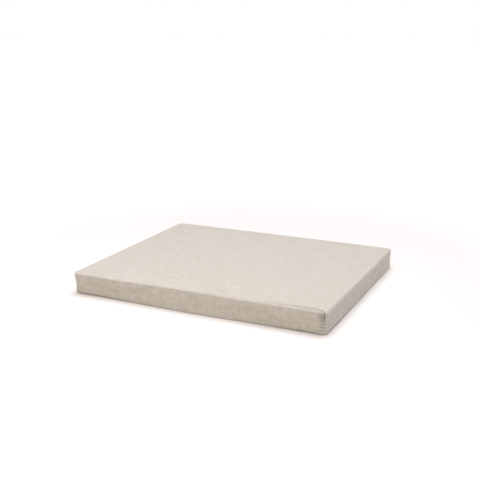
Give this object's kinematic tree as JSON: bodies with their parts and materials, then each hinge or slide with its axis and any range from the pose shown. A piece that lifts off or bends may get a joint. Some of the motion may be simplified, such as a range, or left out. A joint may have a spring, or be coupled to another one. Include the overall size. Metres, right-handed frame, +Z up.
{
  "type": "sauna cushion",
  "caption": "Flat rectangular boxed cushion in beige linen, with plain-seamed panels, soft drawn-in sides and a slight crown, lying flat.",
  "frame": {"origin": "on the surface that the cushion rests on, under the middle of its outline", "axes": "+X along the long side to the right, +Y from the front to the back, +Z up through the thickness"},
  "size_m": [0.6006, 0.5024, 0.0502],
  "materials": {
    "linen": "matte plain-woven linen in natural beige, with slubs"
  },
  "bodies": {
    "root": {"boxed_body": "linen", "top_panel": "linen", "bottom_panel": "linen"}
  },
  "joints": []
}
